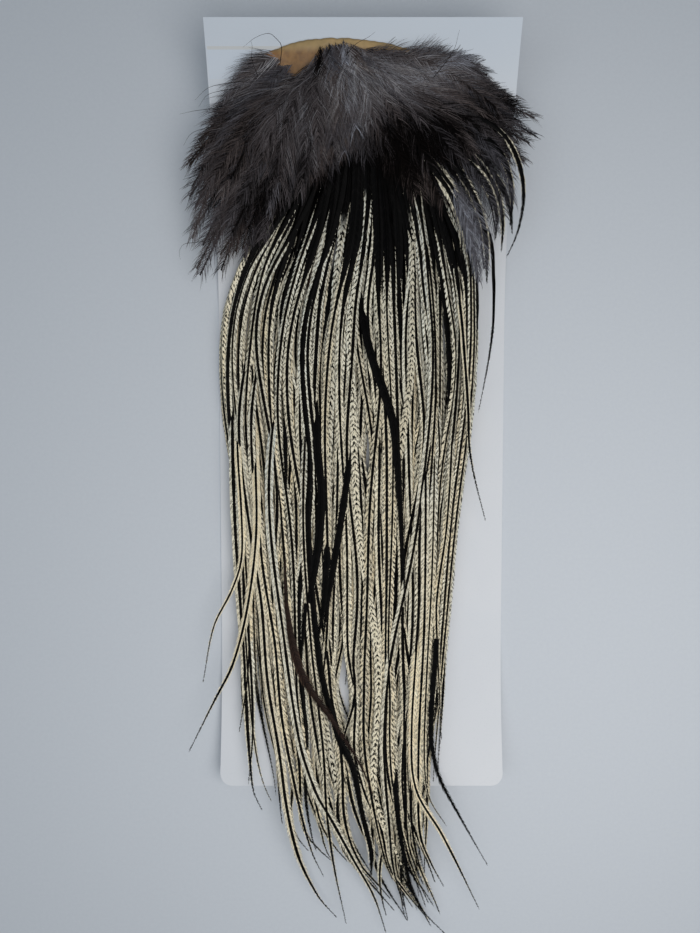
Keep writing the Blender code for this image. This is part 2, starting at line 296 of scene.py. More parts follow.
VANE_COLUMNS = np.array((-1.0, -0.5, -0.09, 0.0, 0.09, 0.5, 1.0))
QUILL_COLUMN = 0.2
VANE_MM_TO_U = 0.1
RACHIS_RIDGE = 0.14
STATION_STEP = 5.0
FRINGE_STEP = 1.0
FRINGE_RISE = 40.0
FRINGE_VANE_SHARE = 0.72
FRINGE_ANGLE = math.radians(15.0)
BARB_WIDTH = 0.22
BARB_STEPS = np.array((0.0, 0.55, 1.0))
BARB_THINNING = np.array((1.0, 0.8, 0.15))
BARB_JITTER = 0.4
BARB_OVERLAP = 0.15
BARB_REACH_SPREAD = (-0.12, 0.2)
BARB_PAST_VANE = 0.18
BARB_PAST_TIP = 4.0
TAPER_POWER = 0.7
LEAST_TAPER = 0.05
RAGGED_EDGE = (-0.16, 0.06)
BAKE_MARGIN = 0.4
BAKE_REACH = 3.4
STRIPE_WIDTHS = (1.26, 1.34)
TIP_STRIPE = 0.5
WARMED_SHARE = 0.5
ROOT_LIGHT = 0.84
LIGHTENED_SHARES = (0.06, 0.24)


def frames_of(centre):
    """Length along a path, its direction, its right side and its upper side at each point."""
    tangent = unit(np.gradient(centre, axis=0))
    right = unit(np.cross(UP, tangent))
    return running_length(centre), tangent, right, np.cross(tangent, right)


def read_rows(values, along, at):
    """Rows of an array read between its stations."""
    columns = [np.interp(at, along, values[:, i]) for i in range(values.shape[1])]
    return np.stack(columns, -1)


def side_point(centre, right, upper, offset, fold):
    """Point on a folded vane, offset mm to the side; fold is each half's slope in radians."""
    angle = np.where(offset < 0, fold[0], fold[1])
    return (centre + (offset * np.cos(angle))[..., None] * right
            - (np.abs(offset) * np.sin(angle))[..., None] * upper)


def vane_points(centre, right, upper, offset, fold):
    """Rows of points across a folded vane."""
    return side_point(centre[:, None], right[:, None], upper[:, None], offset, fold)


def ribbons(core, above, half_widths):
    """Flat strips along rows of points, with their half width at each point."""
    breadth = unit(np.cross(unit(np.gradient(core, axis=1)), above)) * half_widths[None, :, None]
    return np.stack((core - breadth, core + breadth), 2)


def hackle_values(feather, along, length, half_width):
    """Stripe, bars, tone and dark, then seed, light, broken line and half width."""
    base = smoothstep((along - feather["dark_root"]) / feather["dark_fade"])
    tip = smoothstep((length - along) / feather["stripe_taper"])
    share = along / length
    stripe = feather["stripe"] * mix(TIP_STRIPE, 1.0, tip) * mix(*STRIPE_WIDTHS, share)
    stripe = mix(feather["root_stripe"], stripe, base)
    bars = feather["bars"] * mix(1.0, feather["tip_bars"], share)
    tone = feather["tone"] + feather["warming"] * smoothstep(share / WARMED_SHARE)
    light = feather["light"] * mix(ROOT_LIGHT, 1.0, eased(share, LIGHTENED_SHARES))
    return (stacked(stripe, bars, tone, feather["dark"]),
            stacked(feather["seed"], light, feather["rope"], half_width))


def bake_place(cell, cells, offset, along, length):
    """Place of a point in the strip of its feather on the bake map."""
    across = np.clip(offset / BAKE_REACH, -1.0, 1.0)
    return stacked((cell + 0.5 + BAKE_MARGIN * across) / cells,
                   0.01 + 0.98 * np.clip(along / length, 0.0, 1.0))


def vane_place(offset, along):
    """Coordinates on the feather, in tens of mm across and hundreds of mm along."""
    return stacked(offset * VANE_MM_TO_U + 0.5, along / 100.0)


def add_hackle(piece, cell, cells, centre, feather, rng):
    """One long feather: a folded vane with a raised quill, and separate barbs near its tip."""
    along, _, right, upper = frames_of(centre)
    length = along[-1]
    taper = smoothstep((length - along) / feather["taper"]) ** TAPER_POWER
    least, opens_at, opening_length = feather["opening"]
    opening = mix(least, 1.0, smoothstep((along - opens_at) / opening_length))
    half_width = feather["width"] / 2 * np.maximum(taper, LEAST_TAPER) * opening
    fringe = smoothstep((along - feather["fringe_start"] * length) / FRINGE_RISE)
    solid = mix(1.0, FRINGE_VANE_SHARE, fringe)
    reach = np.where(np.abs(VANE_COLUMNS) > QUILL_COLUMN, solid[:, None], 1.0)
    offset = half_width[:, None] * VANE_COLUMNS * reach
    offset[:, [0, -1]] *= 1.0 + rng.uniform(*RAGGED_EDGE, (len(along), 2))
    points = vane_points(centre, right, upper, offset, feather["fold"])
    ridge = RACHIS_RIDGE * (VANE_COLUMNS == 0.0) * np.sqrt(taper)[:, None]
    points = points + ridge[..., None] * upper[:, None]
    look, more = hackle_values(feather, along, length, half_width)
    bake = bake_place(cell, cells, offset, along[:, None], length)
    piece.add_vane(points, offset, along, bake, look[:, None], more[:, None])
    add_fringe(piece, (cell, cells), centre, (along, right, upper), half_width, solid, feather, rng)


def add_fringe(piece, cell, centre, frame, half_width, solid, feather, rng):
    """Separate barbs along the outer part of a hackle, running towards its tip."""
    along, right, upper = frame
    length = along[-1]
    starts = np.arange(length * feather["fringe_start"], length - 1.0, feather["fringe_step"])
    starts = np.repeat(starts, 2) + rng.uniform(-BARB_JITTER, BARB_JITTER, 2 * len(starts))
    starts = np.clip(starts, 0.0, length - 0.5)
    count = len(starts)
    side = np.tile((-1.0, 1.0), count // 2)
    width_here = np.interp(starts, along, half_width)
    inner = width_here * (np.interp(starts, along, solid) - BARB_OVERLAP)
    outer = width_here * (1.0 + rng.uniform(*BARB_REACH_SPREAD, count)) + BARB_PAST_VANE
    angle = FRINGE_ANGLE * rng.uniform(0.75, 1.25, count)
    offset = side[:, None] * mix(inner[:, None], outer[:, None], BARB_STEPS ** 0.9)
    forward = ((outer - inner) / np.tan(angle))[:, None] * BARB_STEPS ** 1.1
    at = np.minimum(starts[:, None] + forward, length + BARB_PAST_TIP)
    flat = at.ravel()
    over = np.maximum(flat - length, 0.0)[:, None]
    middle = read_rows(centre, along, flat) + over * unit(centre[-1] - centre[-2])
    upper_here = read_rows(upper, along, flat)
    core = side_point(middle, read_rows(right, along, flat), upper_here, offset.ravel(),
                      feather["fold"]).reshape(-1, 3, 3)
    points = ribbons(core, upper_here.reshape(-1, 3, 3), BARB_WIDTH / 2 * BARB_THINNING)
    look, more = hackle_values(feather, np.clip(at, 0.0, length), length, width_here[:, None])
    piece.add(points, vane_place(offset, at)[:, :, None],
              bake_place(*cell, offset, at, length)[:, :, None],
              look[:, :, None], more[:, :, None])


# Stripe, bars and broken line of a long feather, with the share of feathers up to each kind
HACKLE_KINDS = (
    (0.4, (0.34, 0.56), (0.72, 0.98), 0.0),
    (0.78, (0.3, 0.54), (0.97, 1.0), 0.0),
    (0.86, (0.4, 0.6), 1.0, 1.0),
    (0.9, (0.32, 0.5), (0.3, 0.6), 0.0),
    (0.99, (0.55, 0.78), (0.6, 1.0), 0.0),
    (1.0, (1.5, 2.2), 0.0, 0.0),
)


def hackle_kind(rng):
    """Random look of one long feather, in the mixture that the patch shows."""
    feather = {
        "width": rng.uniform(3.1, 3.9),
        "taper": rng.uniform(45.0, 95.0),
        "tone": rng.normal(0.12, 0.16),
        "warming": rng.uniform(0.4, 0.8),
        "dark": 0.0,
        "seed": rng.random(),
        "light": rng.uniform(0.9, 1.16),
        "tip_bars": rng.uniform(0.7, 1.0),
        "opening": (0.5, 0.0, 14.0),
        "root_stripe": 2.3,
        "dark_root": rng.uniform(0.0, 30.0),
        "dark_fade": rng.uniform(22.0, 55.0),
        "stripe_taper": rng.uniform(25.0, 60.0),
        "fringe_start": rng.uniform(0.6, 0.74),
        "fringe_step": FRINGE_STEP,
    }
    pick = rng.random()
    stripe, bars, rope = next(kind[1:] for kind in HACKLE_KINDS if pick < kind[0])
    feather.update(stripe=drawn(rng, stripe), bars=drawn(rng, bars), rope=rope)
    return feather


# Slope of the feathers' halves in degrees, steeper near the cloak's edges
FOLD_EDGE_SHARE = 0.3
FOLD_DEGREES = (6, 48)
FOLD_SPREAD = (-6, 24)


def fold_angles(rng, share, half_width, lift):
    """Slope of a feather's halves: steeper at the cloak's edges, never into what lies below."""
    most = math.asin(min(1.0, max(0.05, (lift - 0.25) / half_width)))
    left = max(0.0, 1.0 - share / FOLD_EDGE_SHARE) ** 0.8
    right = max(0.0, 1.0 - (1.0 - share) / FOLD_EDGE_SHARE) ** 0.8
    least, more = FOLD_DEGREES
    return tuple(min(most, math.radians(least + more * edge + rng.uniform(*FOLD_SPREAD)))
                 for edge in (left, right))


# Where the cloak opens: x, y, half width and half length
PARTINGS = (
    (-8.0, -112.0, 4.5, 15.0),
    (-9.0, -168.0, 8.0, 22.0),
    (-1.0, -152.0, 3.0, 14.0),
    (-31.0, -168.0, 7.0, 16.0),
)
ROOT_GATHER_SHARE = 0.47
LAYER_GATHER = (0.97, 0.9, 0.78)
GATHER_LENGTHS = (50.0, 125.0)
LAYER_COUNTS = (4, 5, 5)
LAYER_FRINGE_STEP = (1.5, 0.9, 0.7)
# The left part of the cloak is sparse: most of its feathers end early
SPARSE_SHARE = 0.55
SPARSE_EARLY = 0.74
DENSE_EARLY = 0.34
EARLY_TIP_Y = -95.0
TIP_SPREAD = 26.0
WAVE_LENGTHS = (240.0, 105.0)
WAVE_SIZE = 2.6
SLANT = 0.035
SLANT_LENGTH = 150.0
CURL_SPREAD = (0.5, 3.0)
CURL_LENGTH = 70.0
SWEEP_START_Y = -70.0
SWEEP_LENGTH = 140.0
SWEEP_REACH = 22.0


def parted(x, y, strength):
    """Push feathers aside where the cloak opens."""
    for place_x, place_y, half_width, half_length in PARTINGS:
        width = strength * half_width * np.exp(-((y - place_y) / half_length) ** 2)
        away = x - place_x
        side = 1.0 if away[len(away) // 2] >= 0 else -1.0
        inside, outside = np.maximum(side * away, 0.0), np.minimum(side * away, 0.0)
        x = place_x + side * (np.sqrt(inside ** 2 + width ** 2) + outside)
    return x


def tip_reach(rng, share):
    """How far down one feather ends: the left side is thinner than the right."""
    reach = smooth_value(TIP_REACH, share)
    thin = share < SPARSE_SHARE
    if rng.random() < (SPARSE_EARLY if thin else DENSE_EARLY):
        back = rng.uniform(0.45, 1.0) if thin else rng.uniform(0.0, 0.6)
        return float(mix(reach, EARLY_TIP_Y, back))
    return float(reach + rng.uniform(0.0, TIP_SPREAD))


def cloak_path(rng, layer, share, level):
    """Path of one long feather of the cloak."""
    root_y = HACKLE_ROOT_Y[layer] + rng.uniform(0.0, 10.0)
    tip_y = tip_reach(rng, share)
    y = np.linspace(root_y, tip_y, int((root_y - tip_y) / STATION_STEP))
    down = root_y - y
    gather = LAYER_GATHER[layer] * rng.uniform(0.85, 1.1)
    root_share = ROOT_GATHER_SHARE + (share - ROOT_GATHER_SHARE) * gather
    slant = rng.normal(0.0, SLANT)
    edge = min(1.0, 6.0 * min(share, 1.0 - share))
    slow = smoothstep((share - 0.4) / 0.2) * smoothstep((0.96 - share) / 0.1) * (layer / 2.0)
    here = mix(root_share, share, smoothstep(down / mix(*GATHER_LENGTHS, slow)))
    here = np.clip(here + edge * slant * (down / SLANT_LENGTH - 1.0), 0.0, 1.0)
    x = mix(smooth_value(CLOAK_LEFT, y), smooth_value(CLOAK_RIGHT, y), here)
    for wave in WAVE_LENGTHS:
        size = rng.normal(0.0, WAVE_SIZE) * edge * wave / WAVE_LENGTHS[0] * smoothstep(down / 80.0)
        x += size * np.sin(2 * math.pi * down / wave + rng.uniform(0, 6.28))
    x = parted(x, y, rng.uniform(0.45, 1.1))
    sweep = np.clip((SWEEP_START_Y - y) / SWEEP_LENGTH, 0.0, 1.0) ** 2
    x = x + SWEEP_REACH * math.sin(math.pi * min(1.0, share / 0.8)) * rng.uniform(0.5, 1.1) * sweep
    x = x + rng.normal(*CURL_SPREAD) * smoothstep((tip_y + CURL_LENGTH - y) / CURL_LENGTH) ** 2
    lift = layer_lift(layer, y) + level
    return over_card(x, y, lift), float(np.median(lift))


def level_of(index, count, rng):
    """Height step of one feather within its lock, so that neighbours lie over each other."""
    order = (index * 3) % count if count % 3 else (index * 2) % count
    return 1.7 * ((order + 0.5) / count - 0.5) + rng.uniform(-0.08, 0.08)


# Single feathers of the cloak that can be told apart: lock, look and route as (x, y)
MARKED_HACKLES = (
    (24, {"stripe": 0.4, "bars": 0.85},
     ((-40, 40), (-45, 0), (-41, -56), (-36, -90), (-33, -121), (-26.6, -151), (-20.7, -177),
      (-15.8, -189.4))),
    (24, {"stripe": 0.42, "bars": 0.45},
     ((-45, 40), (-50, 0), (-45, -50), (-41.5, -72.7), (-39, -106), (-34, -134.5), (-26.9, -177),
      (-18.4, -199), (-10.4, -209.6))),
    (26, {"stripe": 0.35, "bars": 0.9, "width": 3.0},
     ((-22, 20), (-24, -40), (-21, -90), (-18.2, -114.5), (-15.6, -136.4), (-14.3, -159.3),
      (-11.1, -187), (-6.5, -212.4))),
    (25, {"stripe": 0.4, "bars": 0.55},
     ((-33, 30), (-38, -30), (-32, -89.6), (-25.6, -130.6), (-18.8, -150), (-12.4, -162),
      (-2.9, -182), (5.2, -199), (10.6, -216.8))),
    (26, {"stripe": 1.1, "bars": 0.2, "width": 2.8, "taper": 14.0},
     ((-20, 10), (-22, -40), (-17.4, -98), (-9.4, -129), (-3.7, -140), (0.1, -159), (4, -177),
      (4.0, -189.4))),
    (23, {"stripe": 0.4, "bars": 0.7},
     ((-50, 20), (-50, -40), (-46.6, -89.6), (-45.3, -113), (-45, -129), (-46.4, -146.8))),
    (23, {"stripe": 0.5, "bars": 0.6},
     ((-53, 30), (-52, -40), (-48.7, -93.8), (-47.3, -122.6), (-45.8, -139), (-44.3, -149.4),
      (-40.8, -157.5))),
    (23, {"stripe": 0.25, "bars": 0.9},
     ((-48, 10), (-49, -60), (-46.6, -110), (-43.8, -133), (-40.8, -145), (-36.9, -153.6))),
    (23, {"stripe": 0.3, "bars": 0.8},
     ((-50, 0), (-48, -50), (-46.6, -89.6), (-47.7, -108), (-50.6, -126.6))),
    (32, {"stripe": 0.25, "bars": 0.9},
     ((30, 10), (29, -60), (26.5, -114.5), (25.8, -138.4), (27.5, -152), (34.9, -164.7))),
    (32, {"stripe": 0.35, "bars": 0.6},
     ((26, 10), (26, -80), (23.3, -138.4), (24, -168), (29.2, -183), (34.8, -194.3))),
    (33, {"stripe": 0.3, "bars": 0.8},
     ((38, 20), (35, -40), (31.0, -72.7), (31.5, -93.6), (32.2, -109.6), (32.9, -129.6))),
    (29, {"stripe": 1.7, "bars": 0.6, "width": 3.7, "taper": 90.0},
     ((-4, 75), (-0.7, 50.8), (3, 31), (7.9, 16.4), (12.6, 1.7), (15, -22.6), (17.2, -55.9),
      (18.2, -80))),
    (27, {"stripe": 2.0, "bars": 0.0, "width": 3.8, "taper": 40.0, "opening": (0.06, 10.0, 42.0)},
     ((-17.5, -14), (-16, -36), (-14.2, -52), (-15.4, -72), (-19, -94))),
    (27, {"stripe": 1.5, "bars": 0.5, "width": 3.8, "taper": 50.0},
     ((-19, 30), (-18.8, 10.3), (-18, -10.2), (-16.4, -30.9), (-18.9, -55.9), (-23.6, -81),
      (-25.7, -106.3))),
    (28, {"stripe": 1.1, "bars": 0.5, "width": 3.6, "taper": 50.0},
     ((-3, 16), (-4, -2), (-6.1, -22.6), (-9.8, -47.5), (-14, -72.7), (-16.5, -93.8))),
    (25, {"stripe": 0.9, "bars": 0.2, "width": 2.6, "taper": 30.0, "opening": (0.06, 0.0, 20.0)},
     ((-28.5, 32), (-30, 15.2), (-31.1, 0.1), (-31, -16), (-30.6, -30))),
)
MARKED_LEVEL = 1.15
MARKED_LOOK = {"fold": (0.2, 0.3), "dark_root": 0.0, "dark_fade": 1.0, "rope": 0.0,
               "opening": (0.06, 0.0, 40.0)}
MARKED_SINK = 2.8
MARKED_RISE_STATIONS = 11.0
MARKED_STEP = 4.0


def marked_path(points):
    """Path of a single feather on the cloak's top layer."""
    x, y = curve_through(points, MARKED_STEP)
    hidden = 1 - smoothstep(np.arange(len(y)) / MARKED_RISE_STATIONS)
    return over_card(x, y, layer_lift(HACKLE_LAYERS - 1, y) + MARKED_LEVEL - MARKED_SINK * hidden)


def build_cloak(material, rng):
    """Locks of long feathers, one piece for each lock of the frame."""
    number = 0
    for layer in range(HACKLE_LAYERS):
        for lane in range(HACKLES_PER_LAYER):
            number += 1
            piece = Piece()
            marked = [entry for entry in MARKED_HACKLES if entry[0] == number]
            count = LAYER_COUNTS[layer]
            cells = count + len(marked)
            for index in range(count):
                share = (lane + (index + rng.uniform(0.1, 0.9)) / count) / HACKLES_PER_LAYER
                centre, lift = cloak_path(rng, layer, share, level_of(index, count, rng))
                feather = hackle_kind(rng)
                feather["fringe_step"] = LAYER_FRINGE_STEP[layer]
                feather["fold"] = fold_angles(rng, share, feather["width"] / 2, lift)
                add_hackle(piece, index, cells, centre, feather, rng)
            for index, (_, look, route) in enumerate(marked):
                feather = {**hackle_kind(rng), **MARKED_LOOK, **look}
                add_hackle(piece, count + index, cells, marked_path(route), feather, rng)
            piece.build("feathers_%02d" % number, material, "hackle", "saddle_hackle_%02d" % number)


# Single feathers that leave the cloak, as built: where each comes out from under the top layer,
# as y, its look, and its route as (y, x) from root to tip
STRAYS = {
    "stray_hackle_left_upper": (
        -20.0, {"stripe": 0.30, "bars": 0.3, "tone": 0.5, "width": 3.0},
        ((100, -33), (60, -47), (10, -51), (-40, -49), (-56, -49.5), (-68, -53.5), (-83, -61),
         (-106, -65.5))),
    "stray_hackle_left_lower": (
        -30.0, {"stripe": 0.34, "bars": 0.2, "tone": 0.7, "width": 3.6},
        ((102, -27), (60, -40), (10, -44), (-40, -43), (-72, -46.5), (-98, -53), (-114, -61),
         (-134, -71))),
    "stray_hackle_right_upper": (
        200.0, {"stripe": 0.6, "bars": 0.5, "tone": 0.1, "width": 2.0},
        ((100, 34), (87, 42), (75, 50), (58, 52.5), (42, 52.7), (30, 51.5), (18, 49.5), (5, 47))),
    "stray_hackle_right_middle": (
        30.0, {"stripe": 0.4, "bars": 0.3, "tone": 0.4, "width": 2.6},
        ((102, 27), (60, 38), (25, 41.5), (5, 43), (-8, 43.5), (-20, 45.5), (-39, 50.5))),
    "stray_hackle_right_lower": (
        -100.0, {"stripe": 0.9, "bars": 0.1, "tone": 0.4, "width": 2.6},
        ((102, 21), (60, 32), (15, 36), (-40, 34), (-90, 31), (-126, 28.5), (-142, 31), (-154, 37),
         (-183, 52.5))),
    "stray_hackle_right_tail": (
        -110.0, {"stripe": 0.3, "bars": 0.4, "tone": 0.6, "width": 3.4},
        ((102, 14), (60, 24), (15, 28), (-40, 27), (-90, 23), (-128, 20.5), (-148, 22), (-168, 33),
         (-205, 50))),
    "stray_hackle_dark_tail": (
        -160.0, {"stripe": 0.9, "bars": 0.0, "tone": 0.5, "width": 3.2},
        ((102, 6), (60, 14), (15, 17), (-40, 16), (-90, 13), (-150, 14), (-186, 19), (-204, 25),
         (-218, 37))),
    "brown_hackle": (
        -72.0, {"stripe": 0.9, "bars": 0.0, "tone": 0.6, "dark": 1.0, "width": 4.4,
                "opening": (0.2, 160.0, 55.0)},
        ((102, -12), (60, -21), (15, -27), (-40, -31), (-73, -31), (-102, -25), (-126, -9), (-140, 0),
         (-154, 6))),
}
STRAY_TAPER = 90.0
STRAY_SINK = 3.4
STRAY_EMERGE_LENGTH = 30.0
STRAY_FOLD = (0.25, 0.25)
SINGLE_STEP = 3.5


def stray_path(route, emerge):
    """Path of a single feather, under the cloak's top layer down to where it comes out."""
    x, y = curve_through([(x, y) for y, x in route], SINGLE_STEP)
    lift = (layer_lift(HACKLE_LAYERS - 1, y) + HACKLE_THICKNESS_PER_WIDTH * lane_width(y) / 2
            + STRAY_LAYER_GAP + STRAY_THICKNESS / 2)
    return over_card(x, y, lift - STRAY_SINK * smoothstep((y - emerge) / STRAY_EMERGE_LENGTH))


def build_strays(material, rng):
    """Single feathers that leave the cloak."""
    for name, (emerge, look, route) in STRAYS.items():
        feather = {**hackle_kind(rng), "taper": STRAY_TAPER, "fold": STRAY_FOLD, "rope": 0.0, **look}
        piece = Piece()
        add_hackle(piece, 0, 1, stray_path(route, emerge), feather, rng)
        piece.build(name.replace("hackle", "feather"), material, "hackle", name)


# Webby feathers of the fan

# Where a feather roots, by the angle at which it ends
FAN_ROOT_X = ((-104, -28), (-80, -27), (-66, -26), (-56, -24.5), (-47, -22), (-38, -19),
              (-28, -16), (-12, -12), (4, -9), (30, -6), (60, -1), (90, 6), (106, 12))
FAN_ROOT_Y = ((-104, 139.5), (-80, 136), (-66, 130), (-56, 128.5), (-47, 134), (-38, 138),
              (-28, 141), (-12, 142), (4, 142), (60, 141), (90, 137), (106, 134))
# How far the fan's feathers reach from its centre, as (degrees, mm)
FAN_REACH = ((-104, 34), (-95, 39), (-88, 44), (-80, 53), (-73, 60), (-63, 70), (-58, 74),
             (-50, 80), (-43, 88), (-38, 88), (-35, 78), (-32, 60), (-28, 44), (-20, 33), (-8, 25),
             (5, 22), (18, 25), (30, 36), (40, 46), (50, 56), (58, 66), (64, 71), (75, 73), (83, 71),
             (87, 66), (90, 60), (94, 56), (98, 53), (102, 45), (106, 33))
FAN_REACH_SPREAD = (0.86, 1.02)
FAN_MIDDLE_SPREAD = (0.75, 1.2)
FAN_MIDDLE_ANGLES = (-34.0, 48.0)
FAN_BOW = 0.13
FAN_RIM_Y = (104.0, 138.0)
FAN_RIM_LOWERING = 0.62
FAN_TUFT_COUNTS = (24, 20, 17)
WEB_STATION_COUNT = 12
WEB_BARB_STEP = 0.62
WEB_STEPS = np.array((0.0, 0.35, 0.7, 1.0))
WEB_BARB_WIDTH = 0.2
WEB_THINNING = np.array((1.0, 0.85, 0.6, 0.15))
WEB_VANE_COLUMNS = np.array((-1.0, 0.0, 1.0))
WEB_VANE_FOLD = (0.3, 0.3)
WEB_VANE_SINK = 0.7
WEB_BUNCHING = 0.13
WEB_NOISE_STEPS = (5, 4)
# Curl and climb of the barbs in degrees, as mean and spread
WEB_CURL = (-13.0, 5.0)
WEB_CLIMB = (1.0, 3.5)
WEB_DROOP = 0.14
WEB_TINT = 0.10
WEB_GRAIN = 0.075
WEB_BAKE_REACH = 12.0
# Light and dark places of the fan: x, y, size in x, size in y and amount
WEB_SHADES = (
    (-8, 122, 18, 16, 0.34),
    (14, 128, 20, 10, 0.22),
    (-20, 100, 14, 14, 0.16),
    (0, 92, 30, 9, -0.34),
    (7, 104, 13, 8, -0.22),
    (26, 106, 18, 10, -0.32),
    (40, 116, 12, 8, -0.16),
    (44, 90, 10, 14, 0.04),
    (-44, 84, 14, 20, -0.11),
    (-44, 128, 10, 7, 0.16),
    (31, 133, 15, 7, 0.34),
)
WEB_BASE_SHADE = 0.27


def web_shade(x, y):
    """Lightness of the fan's feathers: grey at its middle, black along its lower edge."""
    shade = np.full_like(x, WEB_BASE_SHADE)
    for place_x, place_y, size_x, size_y, amount in WEB_SHADES:
        shade += amount * np.exp(-((x - place_x) / size_x) ** 2 - ((y - place_y) / size_y) ** 2)
    return shade


def web_path(rng, tier_index, angle, reach, level):
    """Path of one webby feather of the fan: outwards from the hide, then bending down."""
    root = np.array([smooth_value(places, angle) for places in (FAN_ROOT_X, FAN_ROOT_Y)], float)
    root = root + rng.normal(0.0, 0.8, 2) - (0.0, rng.uniform(0.0, 0.2) * reach * (angle > -48))
    turn = math.radians(angle)
    end = np.array(DOWN_CENTRE) + reach * np.array((math.sin(turn), -math.cos(turn)))
    chord = float(np.linalg.norm(end - root))
    bow = np.array((rng.normal(0.0, 0.05) * chord, FAN_BOW * chord * abs(math.sin(turn))))
    middle = (root + end) / 2 + bow
    t = np.linspace(0.0, 1.0, WEB_STATION_COUNT)
    x, y = (root[i] * (1 - t) ** 2 + 2 * middle[i] * t * (1 - t) + end[i] * t ** 2 for i in range(2))
    root_lift = DOWN_ROOT_LIFT + 0.8 * DOWN_TIER_ROOT_STEP * tier_index
    lift = mix(root_lift, DOWN_TIERS[tier_index]["lift"] + level,
               smoothstep(t * chord / DOWN_RISE_LENGTH))
    lift = lift * (1.0 - FAN_RIM_LOWERING * eased(y, FAN_RIM_Y))
    return over_fan(x, y, lift - rng.uniform(0.0, 2.5) * t ** 3)


def slow_noise(rng, count, step):
    """Smooth random values along a feather, the same on neighbouring barbs."""
    coarse = rng.normal(0.0, 1.0, count // step + 3)
    return np.interp(np.arange(count) / step, np.arange(len(coarse)), coarse)


def add_web_feather(piece, cell, centre, feather, rng):
    """One webby feather: a narrow vane, darkened with painted shade, under many loose barbs."""
    frame = frames_of(centre)
    along, _, right, upper = frame
    share = along / along[-1]
    shape = np.clip(1.0 - share / 0.8, 0.02, 1.0) ** 0.5 * smoothstep(share / 0.3)
    offset = feather["under"] * shape[:, None] * WEB_VANE_COLUMNS
    points = vane_points(centre, right, upper, offset, WEB_VANE_FOLD)
    points = points - WEB_VANE_SINK * upper[:, None]
    # Painted shade: the vane under the barbs is much darker than the barbs, as shade deep inside the
    # plume
    vane_painted_shade = web_shade(points[..., 0], points[..., 1]) * 0.4 + feather["shade"] * 0.3
    look = stacked(vane_painted_shade, 0.0, feather["warm"], feather["seed"])
    bake = fan_bake(cell, offset, along[:, None], along[-1])
    piece.add_vane(points, offset, along, bake, look, np.zeros(4))
    add_web_barbs(piece, cell, centre, frame, feather, rng)


def fan_bake(cell, offset, along, length):
    """Place of a barb in the strip of its feather on the bake map."""
    across = 0.45 * np.clip(offset / WEB_BAKE_REACH, -1, 1)
    return stacked((cell[0] + 0.5 + across) / cell[1],
                   np.clip(0.01 + 0.85 * along / length, 0.0, 1.0))


def add_web_barbs(piece, cell, centre, frame, feather, rng):
    """Loose barbs of one webby feather, in small bunches that share their direction."""
    along, *sides = frame
    length = along[-1]
    starts = np.arange(0.03 * length, length * 0.99, WEB_BARB_STEP)
    count = 2 * len(starts)
    bunch, tint = [np.concatenate([slow_noise(rng, len(starts), step) for _ in range(2)])
                   for step in WEB_NOISE_STEPS]
    starts = np.clip(np.tile(starts, 2) + rng.uniform(-0.4, 0.4, count), 0.0, length)
    place = starts / length
    middle = read_rows(centre, along, starts)[:, None]
    forward, right, above = [unit(read_rows(rows, along, starts))[:, None] for rows in sides]
    reach = feather["barb"] * mix(0.75, 1.0, smoothstep(place / 0.3))
    reach = reach * mix(1.0, 0.5, smoothstep((place - 0.55) / 0.45)) * rng.uniform(0.75, 1.2, count)
    angle = mix(feather["spread"], feather["tip_spread"], place ** 0.8)
    angle = angle * (1.0 + WEB_BUNCHING * bunch + rng.normal(0, 0.07, count))
    curl, climb = [np.radians(rng.normal(*spread, count))[:, None] for spread in (WEB_CURL, WEB_CLIMB)]
    turn = np.radians(angle)[:, None] + curl * WEB_STEPS
    rise = reach[:, None] * (np.sin(climb) * WEB_STEPS - WEB_DROOP * WEB_STEPS ** 2)
    run = reach[:, None] * WEB_STEPS
    onwards = run * np.cos(turn)
    offset = run * np.sin(turn) * np.repeat((-1.0, 1.0), count // 2)[:, None]
    core = (middle + onwards[..., None] * forward + offset[..., None] * right
            + rise[..., None] * above)
    points = ribbons(core, above + rng.normal(0, 0.3, (count, 1, 3)),
                     WEB_BARB_WIDTH / 2 * WEB_THINNING)
    shade = (web_shade(core[..., 0], core[..., 1]) + feather["shade"]
             + (WEB_TINT * tint + rng.normal(0.0, WEB_GRAIN, count))[:, None])
    look = stacked(shade, WEB_STEPS, feather["warm"], rng.random(count)[:, None])
    at = starts[:, None] + onwards
    piece.add(points, vane_place(offset, at)[:, :, None],
              fan_bake(cell, offset, at, length)[:, :, None], look[:, :, None], np.zeros(4))


def web_kind(rng):
    """Random look of one webby feather."""
    return {
        "under": rng.uniform(2.0, 3.2),
        "barb": rng.uniform(8.5, 13.5),
        "spread": rng.uniform(32.0, 46.0),
        "tip_spread": rng.uniform(24.0, 42.0),
        "shade": rng.normal(0.0, 0.12),
        "warm": float(np.clip(rng.normal(0.45, 0.22), 0, 1)),
        "seed": rng.random(),
    }


# Webby feathers that hang down on the right side: tuft, shade and route as (x, y)
SIDE_WEBS = (
    (6, 0.30, ((31, 98), (36, 88), (41, 76), (45, 62))),
    (6, 0.26, ((34, 96), (40, 86), (45, 74), (48, 61))),
    (6, 0.28, ((33, 93), (38, 81), (43, 69), (46, 56))),
    (7, -0.05, ((30, 112), (42, 104), (51, 93), (55, 80))),
    (7, 0.02, ((26, 110), (39, 100), (48, 88), (52, 75))),
    (7, -0.02, ((22, 106), (34, 97), (43, 86), (48, 73))),
    (7, 0.06, ((34, 114), (46, 106), (54, 96), (58, 86))),
)
SIDE_WEB_RISE = 13.5
SIDE_WEB_BOW = 2.0
SIDE_WEB_LOOK = {"warm": 0.1, "spread": 34.0, "barb": 9.0}


def side_web_path(route):
    """Path of a webby feather that hangs down on the right side."""
    x, y = curve_through(route, SINGLE_STEP)
    return over_fan(x, y, SIDE_WEB_RISE + SIDE_WEB_BOW * np.sin(np.linspace(0, math.pi, len(x))))


